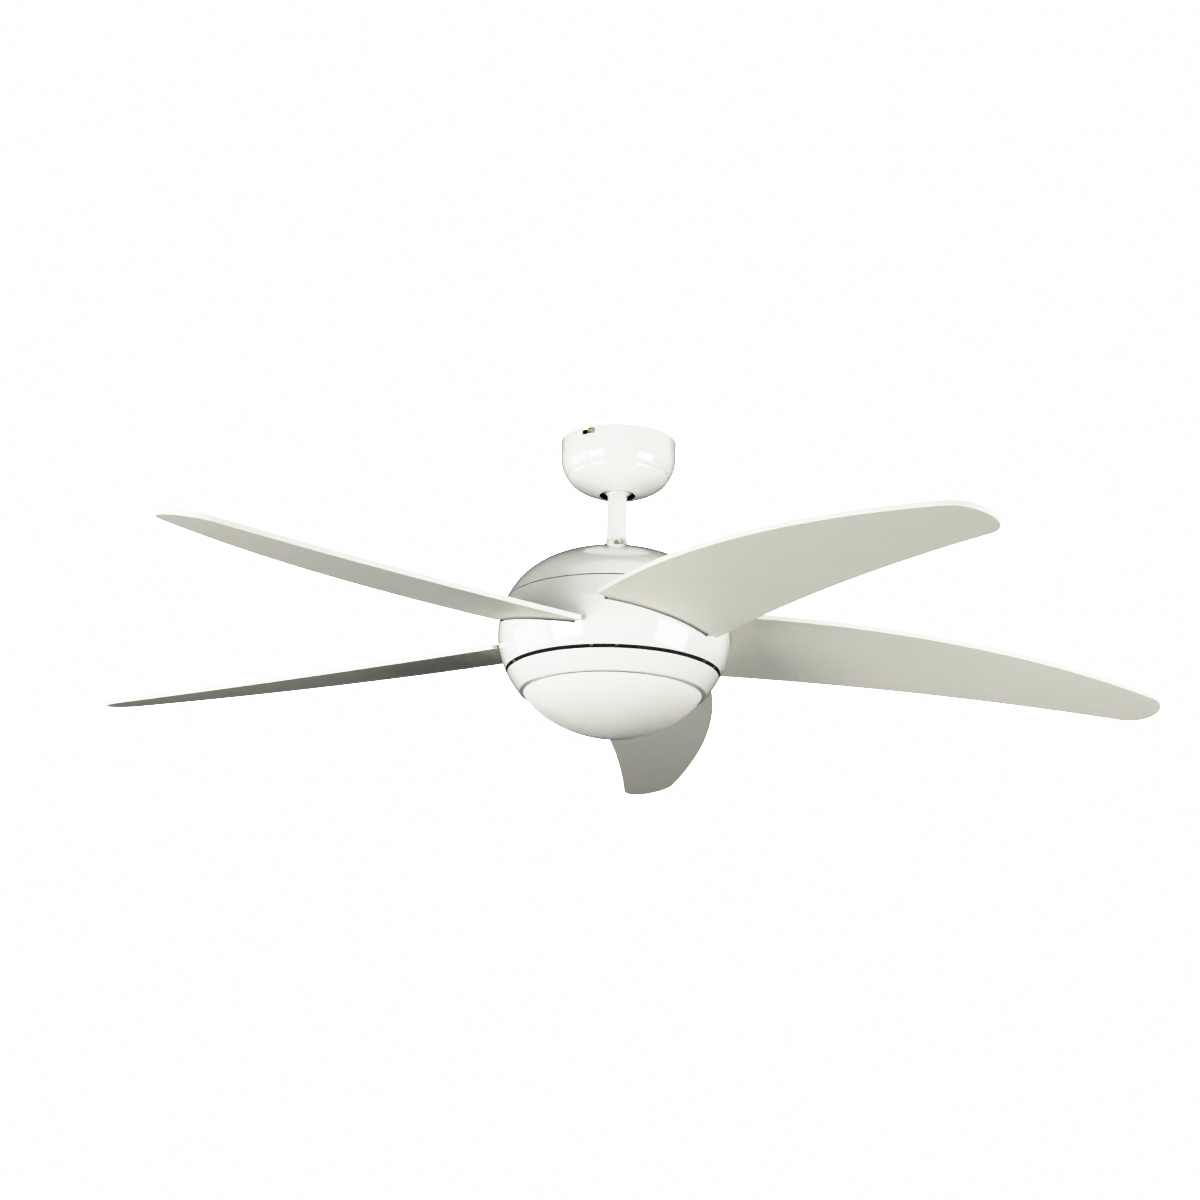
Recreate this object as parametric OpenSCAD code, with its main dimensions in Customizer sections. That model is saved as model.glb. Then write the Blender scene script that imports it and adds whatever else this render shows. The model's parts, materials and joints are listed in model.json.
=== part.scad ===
// Ceiling fan with light: five blades that pass through a turning housing, a short
// downrod on a ball joint, and a fixed light pan with a turn-and-lock opal glass bowl.
// Millimetres. +Z is up, the ceiling is the plane z = 0 and the fan hangs below it.
// Blade 1 lies along +X and the others follow counter-clockwise, seen from above.

/* [Canopy] */
// Outer radius of the canopy at the ceiling
canopy_r = 66; // [65:0.5:67]
// Depth of the canopy below the ceiling
canopy_depth = 66.8; // [66:0.2:68]
// Sheet thickness of the canopy
canopy_wall = 1; // [0.8:0.1:1.2]
// Radius of the canopy's hole for the downrod
canopy_hole_r = 20.4; // [19.5:0.1:21]

/* [Hanger] */
// Thickness of the hanger bracket's steel
steel = 2.5; // [2:0.5:3]
// Distance between the two ceiling screws
ceiling_slot_spacing = 70; // [66:1:74]
// Width of a ceiling screw slot
ceiling_slot_w = 5.5; // [5:0.5:6]
// Length of a ceiling screw slot, end to end
ceiling_slot_len = 14; // [12:1:16]
// Radius of the hanger ball
ball_r = 24; // [23.5:0.5:24.5]
// Depth of the ball's centre below the ceiling
ball_drop = 42; // [41.5:0.5:42.5]

/* [Downrod] */
// Outer radius of the downrod
rod_r = 11.1; // [10.6:0.1:11.3]
// Wall thickness of the downrod
rod_wall = 2; // [1.5:0.1:2.5]

/* [Housing] */
// Largest radius of the turning housing
housing_r = 131.3; // [130.5:0.1:132]
// Height of the dome above its widest circle
dome_h = 108.3; // [107:0.1:109]
// Radius of the middle of the ring and the light pan
ring_r = 130.9; // [130:0.1:131.5]
// Wall thickness of the housing shells
shell = 1.2; // [1:0.1:1.5]

/* [Blades] */
// Diameter that the blade tips sweep
sweep_d = 1320; // [1300:5:1340]
// Thickness of a blade
blade_t = 6; // [5:0.5:6]
// Twist of a blade about its length, leading edge up
blade_pitch = 11.41; // [10.5:0.1:12]
// Droop of a blade towards its tip
blade_droop = 1.106; // [0.8:0.1:1.4]

/* [Light] */
// Outer radius of the glass bowl's rim curve
glass_r = 104.2; // [104:0.1:104.4]
// Depth of the glass bowl's rim curve
glass_depth = 61.2; // [60.5:0.1:61.6]
// Wall thickness of the glass bowl
glass_wall = 3; // [2.5:0.1:3.2]
// Radius of a lamp's round bulb
lamp_r = 22.5; // [21:0.5:22.5]

/* [Hidden] */
$fn = 64;
eps = 0.01;
blades = 5;
blade_step = 360 / blades;
cable_r = 2;
lead_x = 5;

// Heights below the ceiling
canopy_rim_z = -0.3;
canopy_cove_z = -17;
canopy_step_z = -41.6;
ball_z = -ball_drop;
rod_top_z = -28;
rod_end_z = -138;
cone_top_z = -119;
collar_z = -124;
collar_end_z = -150;
cover_disc_z = -129;
dome_zc = -242.2;
dome_n = 0.832;
seam_z = -194.9;
ring_zc = -231.5;
ring_h = 114.4;
ring_n = 1.024;
seam_gap = 1;
ring_end_z = -273.8;
plate_z = -273.4;
plate_t = 1.5;
pan_top_z = -277.5;
pan_end_z = -298.6;
glass_zc = -287.6;
glass_n = 1.195;
glass_rim_z = -299.4;
motor_top_z = -154;
motor_mid_z = -190;
motor_end_z = -226;
blade_z = -234.34;
lamp_z = -306;

// Motor and bearings
motor_r = 76;
motor_wall = 3;
shaft_r = 7.5;
shaft_bore_r = 4.5;
bearing_r = 17.5;
bearing_h = 11;
bearing_z = [-169, -222];
race_in_r = 10.4;
race_out_r = 14.6;
ball_bearing_r = 2;
balls_per_bearing = 8;
lug_r = 5;
lug_h = 6;
lug_circle_r = 80;
lug_az = 18;
lugs = 4;
plate_screw_r = 62;
rim_screw_r = 116;
rim_screw_az = [36, 50];
post_circle_r = 40;
posts = 3;

// Canopy fixings: the keyhole screw's and the lock hole's directions
key_az = -124;
lock_az = -141.4;
key_z = -7;
key_entry_az = -131.6;
screw_r = 2;

// Hanger ball: key groove, pin and set screw
groove_w = 4;
groove_depth = 3;
key_w = 3;
ball_flat_z = -26;
pin_r = 2.5;
pin_z = -50;
set_z = -36;

// Yoke: pin and clip on one line, a set screw on the line beside it
collar_r = 14.2;
yoke_pin_az = -59;
yoke_set_az = -94;
yoke_pin_z = -124.5;

// Blade outline: x runs out along the blade, y towards the leading edge
root_x = 114.5;
tongue_x = 88;
tongue_half_w = 60;
tongue_end_half_w = 45;
lead_root_y = 73.5;
trail_root_y = -75.5;
curve_x = 150;
lead_arc_r = 1010;
trail_arc_r = 2700;
tip_lead_r = 36;
tip_trail_r = 32;
tip_x = sqrt(pow(sweep_d / 2, 2) - pow(82, 2));
slot_half_w = 64;
slot_below = 2.2;
slot_above = 7.2;

// Reverse switch at the back of the light pan
switch_z = -288;
switch_slant = -34;
switch_travel = 3;
switch_size = [19, 7, 7];

// ---- shared outlines and small shapes -------------------------------------------------

// A rounded outline that runs from its widest radius down to its axis
function bow(r, h, zc, n, a) = [r * pow(cos(a), n), zc + h * pow(abs(sin(a)), n) * sign(sin(a))];

// The angle at which such an outline reaches a height
function bow_angle(h, zc, n, z) = asin(pow(abs(z - zc) / abs(h), 1 / n)) * sign((z - zc) / h);

function bow_arc(r, h, zc, n, a0, a1, steps) =
    [for (i = [0:steps]) bow(r, h, zc, n, a0 + (a1 - a0) * i / steps)];

function reversed(list) = [for (i = [len(list) - 1:-1:0]) list[i]];

function arc(c, r, a0, a1, steps) =
    [for (i = [0:steps]) c + r * [cos(a0 + (a1 - a0) * i / steps), sin(a0 + (a1 - a0) * i / steps)]];

module ring(r_out, r_in, z0, z1) {
    translate([0, 0, z0])
        difference() {
            cylinder(r = r_out, h = z1 - z0);
            translate([0, 0, -1]) cylinder(r = r_in, h = z1 - z0 + 2);
        }
}

// A pan-head screw pointing along -Z from the underside of its head at z = 0
module screw(r, length, head_r, head_h) {
    translate([0, 0, -length]) cylinder(r = r, h = length + eps);
    difference() {
        cylinder(r = head_r, h = head_h);
        translate([-head_r * 0.6, -0.4, head_h * 0.5]) cube([head_r * 1.2, 0.8, head_h]);
        translate([-0.4, -head_r * 0.6, head_h * 0.5]) cube([0.8, head_r * 1.2, head_h]);
    }
}

module at_azimuth(az, r, z) {
    rotate([0, 0, az]) translate([r, 0, z]) children();
}

// A block with four rounded upright edges, centred on the origin in x and y
module rounded_block(w, d, h, r) {
    translate([-w / 2 + r, -d / 2, 0]) cube([w - 2 * r, d, h]);
    translate([-w / 2, -d / 2 + r, 0]) cube([w, d - 2 * r, h]);
    for (x = [-1, 1], y = [-1, 1])
        translate([x * (w / 2 - r), y * (d / 2 - r), 0]) cylinder(r = r, h = h);
}

// A round cable swept along a list of points
module cable(route, r, sides) {
    n = len(route);
    function along(i) = route[min(i + 1, n - 1)] - route[max(i - 1, 0)];
    function unit(v) = v / norm(v);
    function side(i) = unit(cross(unit(along(i)), [0.31, 0.95, 0.05]));
    points = [for (i = [0:n - 1], k = [0:sides - 1])
        let (s = side(i), t = cross(unit(along(i)), s), a = 360 * k / sides)
        route[i] + r * (cos(a) * s + sin(a) * t)];
    sides_faces = [for (i = [0:n - 2], k = [0:sides - 1])
        let (k2 = (k + 1) % sides)
        [i * sides + k, i * sides + k2, (i + 1) * sides + k2, (i + 1) * sides + k]];
    caps = [[for (k = [sides - 1:-1:0]) k], [for (k = [0:sides - 1]) (n - 1) * sides + k]];
    polyhedron(points = points, faces = concat(sides_faces, caps), convexity = 6);
}

// A smooth run of points between two places, leaving and arriving along given directions
function bend(p0, d0, p1, d1, steps) = [for (i = [0:steps])
    let (t = i / steps, u = 1 - t)
    u * u * u * p0 + 3 * u * u * t * (p0 + d0) + 3 * u * t * t * (p1 - d1) + t * t * t * p1];

// ---- ceiling mount ----------------------------------------------------------------------

// A steel plate with two legs that carry the ball's seat. The seat is open at the back, where
// the rod enters, and a tongue at its front enters the ball's groove and stops it from turning.
module hanger_bracket() {
    leg_x = 27;
    seat_z = -56;
    ear_r = 60.5;
    ear_w = 12;
    plate_w = 92;
    color("dimgray")
    difference() {
        union() {
            translate([0, 0, -steel]) linear_extrude(steel) {
                intersection() {
                    circle(r = 58);
                    translate([-plate_w / 2, -50]) square([plate_w, 104]);
                }
                for (turn = [0, 180])
                    rotate(turn + key_az) translate([40, -ear_w / 2]) square([ear_r + 2 - 40, ear_w]);
            }
            for (s = [-1, 1])
                translate([s * (leg_x + steel / 2) - steel / 2, -15, seat_z + 1]) cube([steel, 30, -seat_z - 2]);
            translate([-leg_x - steel - 1, -24, seat_z]) cube([2 * (leg_x + steel + 1), 40, steel]);
            for (turn = [0, 180])
                rotate([0, 0, turn + key_az]) translate([ear_r, -ear_w / 2 + 0.5, -14]) cube([1.6, ear_w - 1, 13]);
        }
        difference() {
            translate([0, 0, ball_z]) sphere(r = ball_r + 0.3);
            translate([-key_w / 2, -40, -60]) cube([key_w, 30, 10]);
        }
        translate([0, 0, ball_z]) sphere(r = ball_r - groove_depth + 1);
        translate([-13, 0, seat_z - 1]) cube([26, 20, steel + 2]);
        translate([0, 0, -steel - 1]) cylinder(r = 13, h = steel + 2);
        for (s = [-1, 1])
            translate([s * ceiling_slot_spacing / 2, 0, -steel - 1]) ceiling_slot();
        for (turn = [0, 180])
            at_azimuth(turn + key_az, 50, key_z) rotate([0, 90, 0]) cylinder(r = screw_r, h = 20);
    }
}

module ceiling_slot() {
    reach = (ceiling_slot_len - ceiling_slot_w) / 2;
    for (s = [-1, 1]) translate([s * reach, 0, 0]) cylinder(d = ceiling_slot_w, h = steel + 2);
    translate([-reach, -ceiling_slot_w / 2, 0]) cube([2 * reach, ceiling_slot_w, steel + 2]);
}

// From the rim down the straight wall, in round the cove, over a small step and down the bowl
function canopy_outline(in, steps) =
    let (cove_r = 14, cove_h = 28.4, cove_angle = 60, bowl_r = canopy_r - 7.8)
    concat([[canopy_r - in, canopy_rim_z], [canopy_r - in, canopy_cove_z]],
        [for (i = [1:steps]) let (a = cove_angle * i / steps)
            [canopy_r - cove_r * (1 - cos(a)) - in, canopy_cove_z - cove_h * sin(a) + in * 0.4 * i / steps]],
        [[bowl_r - in, canopy_step_z - 0.2 + in * 0.6]],
        [for (i = [1:2 * steps]) bow(bowl_r - in, -(canopy_depth + canopy_step_z) + in,
            canopy_step_z, 1.18, 90 * i / (2 * steps))]);

module canopy() {
    outer = canopy_outline(0, 6);
    inner = canopy_outline(canopy_wall, 6);
    color("white")
    difference() {
        rotate_extrude($fn = 128) polygon(concat(outer, reversed(inner)));
        translate([0, 0, -80]) cylinder(r = canopy_hole_r, h = 40);
        for (turn = [0, 180]) rotate([0, 0, turn]) {
            at_azimuth(key_az, 55, key_z) rotate([0, 90, 0]) cylinder(r = screw_r + 0.3, h = 20);
            at_azimuth(lock_az, 55, key_z) rotate([0, 90, 0]) cylinder(r = 1.6, h = 20);
            key_arm();
        }
    }
}

// The way in from the rim and the sideways arm that ends at the keyhole screw
module key_arm() {
    entry_w = 7;
    arm_w = 8.6;
    arm_h = 4.2;
    at_azimuth(key_entry_az, 60, key_z - arm_h / 2 - 0.4) translate([0, -entry_w / 2, 0]) cube([10, entry_w, 12]);
    rotate([0, 0, (key_entry_az + key_az) / 2])
        translate([60, -arm_w / 2, key_z - arm_h / 2]) cube([10, arm_w, arm_h]);
}

module canopy_screws() {
    color("wheat")
    for (turn = [0, 180])
        at_azimuth(key_az + turn, canopy_r + 0.1, key_z) rotate([0, 90, 0]) screw(screw_r, 7, 3.6, 2.4);
}

// The radio receiver, with two fixing holes and a label recess in the side towards the ball
module receiver_box() {
    size = [58, 22, 26];
    centre_y = 39;
    bottom_z = -32;
    near_y = centre_y - size[1] / 2;
    color("whitesmoke")
    difference() {
        translate([0, centre_y, bottom_z]) rounded_block(size[0], size[1], size[2], 2);
        for (x = [-24, 24])
            translate([x, near_y - 1, bottom_z + size[2] / 2]) rotate([-90, 0, 0]) cylinder(r = 1.6, h = 4);
        translate([-20, near_y - 0.1, bottom_z + 2]) cube([40, 0.6, 8]);
    }
}

module terminal_block() {
    poles = 3;
    pole_w = 9;
    color("ivory")
    difference() {
        union() {
            translate([-poles * pole_w / 2, -40, -9]) cube([poles * pole_w, 15, 9 - steel]);
            for (i = [0:poles - 1])
                translate([(i - 1) * pole_w, -32.5, -13]) cylinder(r = 3.2, h = 6);
        }
        for (i = [0:poles - 1]) translate([(i - 1) * pole_w, -32.5, -14]) {
            cylinder(r = 1.9, h = 7);
            translate([0, 20, 7.5]) rotate([90, 0, 0]) cylinder(r = 1.5, h = 40);
        }
    }
}

module mains_lead() {
    color("gray")
        cable(bend([9, -25, -6.7], [0, 20, -4], [-14, 28, -13], [0, 8, 0], 14), 1.2, 8);
}

module fan_lead_upper() {
    color("dimgray") cable(bend([lead_x, 28, -11], [0, -18, 2],
        [lead_x, 0, ball_z + 0.3], [0, 0, -24], 16), cable_r, 10);
}

// ---- downrod and yoke ---------------------------------------------------------------------

module hanger_ball() {
    color("white")
    difference() {
        translate([0, 0, ball_z]) sphere(r = ball_r);
        translate([-30, -30, ball_flat_z]) cube([60, 60, 20]);
        translate([0, 0, -80]) cylinder(r = rod_r, h = 80);
        groove();
        translate([0, 30, pin_z]) rotate([90, 0, 0]) cylinder(r = pin_r, h = 60);
        translate([rod_r - 1, 0, set_z]) rotate([0, 90, 0]) cylinder(r = 2.5, h = 20);
    }
}

// An upright groove around the front half of the ball
module groove() {
    translate([-groove_w / 2, 0, ball_z])
        rotate([0, 90, 0])
            difference() {
                cylinder(r = ball_r + 2, h = groove_w);
                translate([0, 0, -1]) cylinder(r = ball_r - groove_depth, h = groove_w + 2);
                translate([-30, 0, -1]) cube([60, 30, groove_w + 2]);
            }
}

module ball_pin() {
    color("silver") translate([0, 18, pin_z]) rotate([90, 0, 0]) cylinder(r = pin_r, h = 36);
}

module ball_set_screw() {
    color("dimgray")
    translate([rod_r, 0, set_z]) rotate([0, 90, 0])
        difference() {
            cylinder(r = 2.5, h = 9);
            translate([0, 0, 7]) cylinder(r = 1.4, h = 3, $fn = 6);
        }
}

module downrod() {
    color("white")
    difference() {
        ring(rod_r, rod_r - rod_wall, rod_end_z, rod_top_z);
        translate([0, 30, pin_z]) rotate([90, 0, 0]) cylinder(r = pin_r, h = 60);
        rotate([0, 0, yoke_pin_az])
            translate([-20, 0, yoke_pin_z]) rotate([0, 90, 0]) cylinder(r = pin_r, h = 40);
    }
}

// The cable runs down beside the two cross pins and into the hollow shaft
module fan_lead_lower() {
    beside_pin = [4.9, 2.9];
    color("dimgray")
        cable(concat(
            bend([lead_x, 0, ball_z - 0.3], [0, 0, -25], [beside_pin[0], beside_pin[1], -118], [0, 0, -25], 10),
            bend([beside_pin[0], beside_pin[1], -129], [0, 0, -4.5], [0, 0, -142], [0, 0, -4.5], 7),
            [[0, 0, -164]]), cable_r, 10);
}

module yoke() {
    color("white")
    difference() {
        union() {
            rotate_extrude() polygon([[0, collar_end_z], [collar_r, collar_end_z], [collar_r, collar_z],
                [collar_r - 0.8, collar_z + 2.2], [rod_r + 0.5, cone_top_z], [0, cone_top_z]]);
            at_azimuth(yoke_set_az, 11.5, yoke_pin_z) rotate([0, 90, 0]) cylinder(r = 4.6, h = 3.6);
        }
        translate([0, 0, rod_end_z]) cylinder(r = rod_r, h = 40);
        translate([0, 0, collar_end_z - 1]) cylinder(r = shaft_r, h = 40);
        rotate([0, 0, yoke_pin_az])
            translate([-20, 0, yoke_pin_z]) rotate([0, 90, 0]) cylinder(r = pin_r, h = 40);
        at_azimuth(yoke_set_az, 5, yoke_pin_z) rotate([0, 90, 0]) cylinder(r = 2.2, h = 20);
        at_azimuth(yoke_set_az, 13.4, yoke_pin_z) rotate([0, 90, 0]) cylinder(r = 3.5, h = 5);
    }
}

module yoke_pin() {
    color("silver")
    rotate([0, 0, yoke_pin_az])
        difference() {
            union() {
                translate([-15.5, 0, yoke_pin_z]) rotate([0, 90, 0]) cylinder(r = pin_r, h = 34);
                translate([-17, 0, yoke_pin_z]) rotate([0, 90, 0]) cylinder(r = 3.6, h = 1.8);
            }
            translate([16.6, 0, yoke_pin_z - 5]) cylinder(r = 0.75, h = 10);
        }
}

// A bent wire clip: a straight leg through the pin, and a bowed leg beside it
module hairpin_clip() {
    wire_r = 0.7;
    loop_r = 3;
    color("silver")
    rotate([0, 0, yoke_pin_az]) translate([16.6, 0, yoke_pin_z]) {
        translate([0, 0, -3.8]) cylinder(r = wire_r, h = 7.3, $fn = 24);
        translate([0, 2 * loop_r, -1.5]) cylinder(r = wire_r, h = 5, $fn = 24);
        translate([0, loop_r, 3.5]) rotate([90, 0, 90])
            rotate_extrude(angle = 180, $fn = 48) translate([loop_r, 0]) circle(r = wire_r, $fn = 24);
    }
}

module yoke_set_screw() {
    color("tan")
    at_azimuth(yoke_set_az, rod_r, yoke_pin_z) rotate([0, 90, 0])
        difference() {
            cylinder(r = 2.15, h = 3.4);
            translate([-2.5, -0.35, 2.6]) cube([5, 0.7, 2]);
        }
}

// A shallow disc on the yoke that hides the hole in the turning dome
module yoke_cover() {
    color("white")
    rotate_extrude() polygon([[collar_r, cover_disc_z - 3], [21.6, cover_disc_z - 3],
        [22, cover_disc_z - 2.6], [21.4, cover_disc_z - 1.5], [collar_r + 0.8, cover_disc_z],
        [collar_r, cover_disc_z]]);
}

// ---- motor ----------------------------------------------------------------------------------

module motor_shaft() {
    color("silver")
    difference() {
        translate([0, 0, -276]) cylinder(r = shaft_r, h = 136);
        translate([0, 0, -277]) cylinder(r = shaft_bore_r, h = 138);
    }
}

module stator_core() {
    slots = 18;
    color("slategray")
    difference() {
        ring(58.5, shaft_r, -205, -175);
        for (i = [0:slots - 1]) rotate([0, 0, i * 360 / slots]) {
            translate([40, 0, -206]) cylinder(r = 4, h = 32, $fn = 24);
            translate([40, -2.2, -206]) cube([16, 4.4, 32]);
            translate([50, -1, -206]) cube([12, 2, 32]);
        }
    }
}

module stator_windings() {
    coils = 18;
    color("darkorange") {
        for (z = [-213, -175]) ring(55, 37, z + 2, z + 6);
        for (i = [0:coils - 1]) rotate([0, 0, i * 360 / coils])
            translate([44, 0, -207.5]) rounded_block(9, 3.4, 33, 1.5);
    }
}

module bearing_inner_races() {
    color("silver")
    for (z = bearing_z)
        difference() {
            ring(race_in_r, shaft_r, z, z + bearing_h);
            translate([0, 0, z + bearing_h / 2]) ball_track();
        }
}

module bearing_outer_races() {
    color("silver")
    for (z = bearing_z)
        difference() {
            ring(bearing_r, race_out_r, z, z + bearing_h);
            translate([0, 0, z + bearing_h / 2]) ball_track();
        }
}

// The round track that the bearing balls run in
module ball_track() {
    rotate_extrude() translate([(race_in_r + race_out_r) / 2, 0]) circle(r = 2.3, $fn = 32);
}

module bearing_balls() {
    color("lightgray")
    for (z = bearing_z, i = [0:balls_per_bearing - 1])
        rotate([0, 0, i * 360 / balls_per_bearing])
            translate([(race_in_r + race_out_r) / 2 - 0.25, 0, z + bearing_h / 2]) sphere(r = ball_bearing_r);
}

module rotor_ring() {
    color("gray")
    difference() {
        ring(72.8, 59.2, -207, -173);
        for (i = [0:23]) rotate([0, 0, i * 15]) translate([63, 0, -208]) cylinder(r = 1.6, h = 36, $fn = 16);
    }
}

// One half of the motor's casing, opening downward from a plate at z = 0
module motor_cover(depth, hub_depth) {
    difference() {
        union() {
            rotate_extrude() polygon([[0, 0], [motor_r - 5, 0], [motor_r, -5], [motor_r, -depth],
                [motor_r - motor_wall, -depth], [motor_r - motor_wall, -6], [motor_r - 6, -motor_wall],
                [0, -motor_wall]]);
            translate([0, 0, -hub_depth]) cylinder(r = bearing_r + 4, h = hub_depth);
            for (i = [0:lugs - 1]) at_azimuth(lug_az + i * 360 / lugs, lug_circle_r, -depth)
                difference() {
                    translate([-lug_r - 2, -lug_r, 0]) cube([2 * lug_r + 2, 2 * lug_r, lug_h]);
                    translate([-lug_circle_r, 0, -1]) cylinder(r = motor_r - eps, h = lug_h + 2);
                }
        }
        translate([0, 0, -hub_depth - 1]) cylinder(r = bearing_r, h = hub_depth - 2);
        translate([0, 0, -hub_depth - 1]) cylinder(r = 13, h = hub_depth + 2);
        for (i = [0:7]) at_azimuth(i * 45 + 4, 54, -8) cylinder(r = 4, h = 12);
        for (i = [0:lugs - 1])
            at_azimuth(lug_az + i * 360 / lugs, lug_circle_r, -depth - 1) cylinder(r = 2, h = lug_h + 2);
    }
}

module motor_upper_cover() {
    color("darkgray") {
        translate([0, 0, motor_top_z]) motor_cover(motor_top_z - motor_mid_z, 15);
        for (i = [0:posts - 1]) at_azimuth(30 + i * 360 / posts, post_circle_r, motor_top_z - 1)
            difference() {
                cylinder(r = 4, h = 16.4);
                translate([0, 0, 2]) cylinder(r = 1.9, h = 16);
            }
    }
}

module motor_lower_cover() {
    color("darkgray")
    difference() {
        translate([0, 0, motor_end_z]) mirror([0, 0, 1]) motor_cover(motor_mid_z - motor_end_z, 15);
        for (i = [0:blades - 1]) rotate([0, 0, i * blade_step]) {
            for (y = [-8, 8]) translate([56, y, motor_end_z - 1]) cylinder(r = 2, h = 6);
            at_azimuth(blade_step / 2, plate_screw_r, motor_end_z - 1) cylinder(r = 2, h = 6);
        }
    }
}

module motor_screws() {
    color("silver")
    for (i = [0:lugs - 1])
        at_azimuth(lug_az + i * 360 / lugs, lug_circle_r, motor_mid_z + lug_h) screw(2, 2 * lug_h, 3.4, 2.2);
}

// ---- blades ---------------------------------------------------------------------------------

// A blade's own frame: x outward, y to the trailing side, z = 0 on its underside
module blade_frame(i) {
    rotate([0, 0, i * blade_step])
        translate([0, 0, blade_z])
            rotate([0, blade_droop, 0])
                rotate([-blade_pitch, 0, 0])
                    children();
}

function blade_outline() =
    let (lead_c = [curve_x, lead_root_y - lead_arc_r],
         trail_c = [curve_x, trail_root_y - trail_arc_r],
         lead_x = tip_x - tip_lead_r - curve_x,
         trail_x = tip_x - tip_trail_r - curve_x,
         lead_end = asin(lead_x / (lead_arc_r - tip_lead_r)),
         trail_end = asin(trail_x / (trail_arc_r + tip_trail_r)),
         lead_tip = lead_c + (lead_arc_r - tip_lead_r) * [sin(lead_end), cos(lead_end)],
         trail_tip = trail_c + (trail_arc_r + tip_trail_r) * [sin(trail_end), cos(trail_end)])
    concat([[tongue_x, tongue_end_half_w], [tongue_x + 12, tongue_half_w], [root_x, tongue_half_w],
            [root_x, lead_root_y - 3], [root_x + 2, lead_root_y - 1]],
        arc(lead_c, lead_arc_r, 90, 90 - lead_end, 12),
        arc(lead_tip, tip_lead_r, 82 - lead_end, 0, 8),
        arc(trail_tip, tip_trail_r, 0, -82 - trail_end, 8),
        arc(trail_c, trail_arc_r, 90 - trail_end, 90, 10),
        [[root_x + 2, trail_root_y + 1], [root_x, trail_root_y + 3], [root_x, -tongue_half_w],
         [tongue_x + 12, -tongue_half_w], [tongue_x, -tongue_end_half_w]]);

blade_holes = [[93, 0], [106, -18], [106, 18]];

module blade(i) {
    color("white")
    blade_frame(i)
        difference() {
            linear_extrude(blade_t) mirror([0, 1]) polygon(blade_outline());
            for (p = blade_holes) translate([p[0], p[1], -1]) cylinder(r = 2.2, h = blade_t + 2);
        }
}

module blade_bracket(i) {
    plate = 3;
    pad_z = motor_end_z - plate;
    color("silver")
    difference() {
        union() {
            rotate([0, 0, i * blade_step]) translate([42, -14, pad_z - 0.2]) cube([45.5, 28, plate]);
            blade_frame(i) translate([80, -26, blade_t]) cube([32.5, 52, plate]);
        }
        rotate([0, 0, i * blade_step])
            for (y = [-8, 8]) translate([56, y, pad_z - 2]) cylinder(r = 2.2, h = plate + 4);
        blade_frame(i)
            for (p = blade_holes) translate([p[0], p[1], blade_t - 1]) cylinder(r = 1.9, h = plate + 2);
    }
}

module bracket_screws() {
    color("silver")
    for (i = [0:blades - 1], y = [-8, 8])
        rotate([0, 0, i * blade_step]) translate([56, y, motor_end_z - 3.2])
            mirror([0, 0, 1]) screw(2, 7, 3.6, 2.4);
}

module blade_screws() {
    color("silver")
    for (i = [0:blades - 1])
        blade_frame(i)
            for (p = blade_holes) translate([p[0], p[1], 0]) mirror([0, 0, 1]) screw(1.85, 9.5, 4, 1.8);
}

// ---- turning housing ----------------------------------------------------------------------

function dome_wall(in, steps) =
    bow_arc(housing_r - in, dome_h - in, dome_zc, dome_n, bow_angle(dome_h - in, dome_zc, dome_n, seam_z), 89.9, steps);

module upper_housing() {
    color("white")
    difference() {
        rotate_extrude($fn = 128)
            polygon(concat(dome_wall(0, 24), [[0, dome_zc + dome_h]], [[0, dome_zc + dome_h - shell]],
                reversed(dome_wall(shell, 24))));
        translate([0, 0, -160]) cylinder(r = 17, h = 40);
        for (i = [0:posts - 1]) at_azimuth(30 + i * 360 / posts, post_circle_r, -160) cylinder(r = 2.2, h = 40);
    }
}

// The ring's upper half follows the dome's curve and its lower half the light pan's
function ring_wall(in, z0) = concat(
    bow_arc(housing_r - in, dome_h - in, dome_zc, dome_n, bow_angle(dome_h - in, dome_zc, dome_n, z0),
        bow_angle(dome_h - in, dome_zc, dome_n, -236), 8),
    lower_wall(in, -240, ring_end_z, 8));

function lower_wall(in, z0, z1, steps) =
    bow_arc(ring_r - in, -(ring_h - in), ring_zc, ring_n, bow_angle(-(ring_h - in), ring_zc, ring_n, z0),
        bow_angle(-(ring_h - in), ring_zc, ring_n, z1), steps);

// The ring's top edge has an inner lip that centres it in the dome. Near its bottom edge an inner
// ledge carries the base plate, which is screwed on from below.
module slotted_housing() {
    lip = 6;
    lip_t = 1.2;
    lip_gap = 0.3;
    ledge_r = 112.5;
    ledge_t = 1.4;
    ledge_z = plate_z + plate_t;
    inner = ring_wall(shell, seam_z);
    beside_ledge = lower_wall(shell, ledge_z + ledge_t, ledge_z, 1);
    color("white")
    difference() {
        rotate_extrude($fn = 128)
            polygon(concat(ring_wall(0, seam_z - seam_gap), [inner[17], beside_ledge[1]],
                [[ledge_r, ledge_z], [ledge_r, ledge_z + ledge_t], beside_ledge[0]],
                reversed([for (i = [1:16]) inner[i]]),
                [inner[0] - [lip_gap + lip_t, 3]],
                [ring_wall(shell, seam_z + lip)[0] - [lip_gap + lip_t, 0]],
                [ring_wall(shell, seam_z + lip)[0] - [lip_gap, 0]],
                [ring_wall(shell, seam_z - seam_gap)[0] - [lip_gap, 0]]));
        for (i = [0:blades - 1]) blade_frame(i)
            translate([95, -slot_half_w, -slot_below])
                cube([60, 2 * slot_half_w, slot_below + slot_above]);
        rim_screw_places(ledge_z - 1) cylinder(r = 1.2, h = ledge_t + 2);
    }
}

// Two places beside each gap between blades
module rim_screw_places(z) {
    for (i = [0:blades - 1], az = rim_screw_az) at_azimuth(i * blade_step + az, rim_screw_r, z) children();
}

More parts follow.
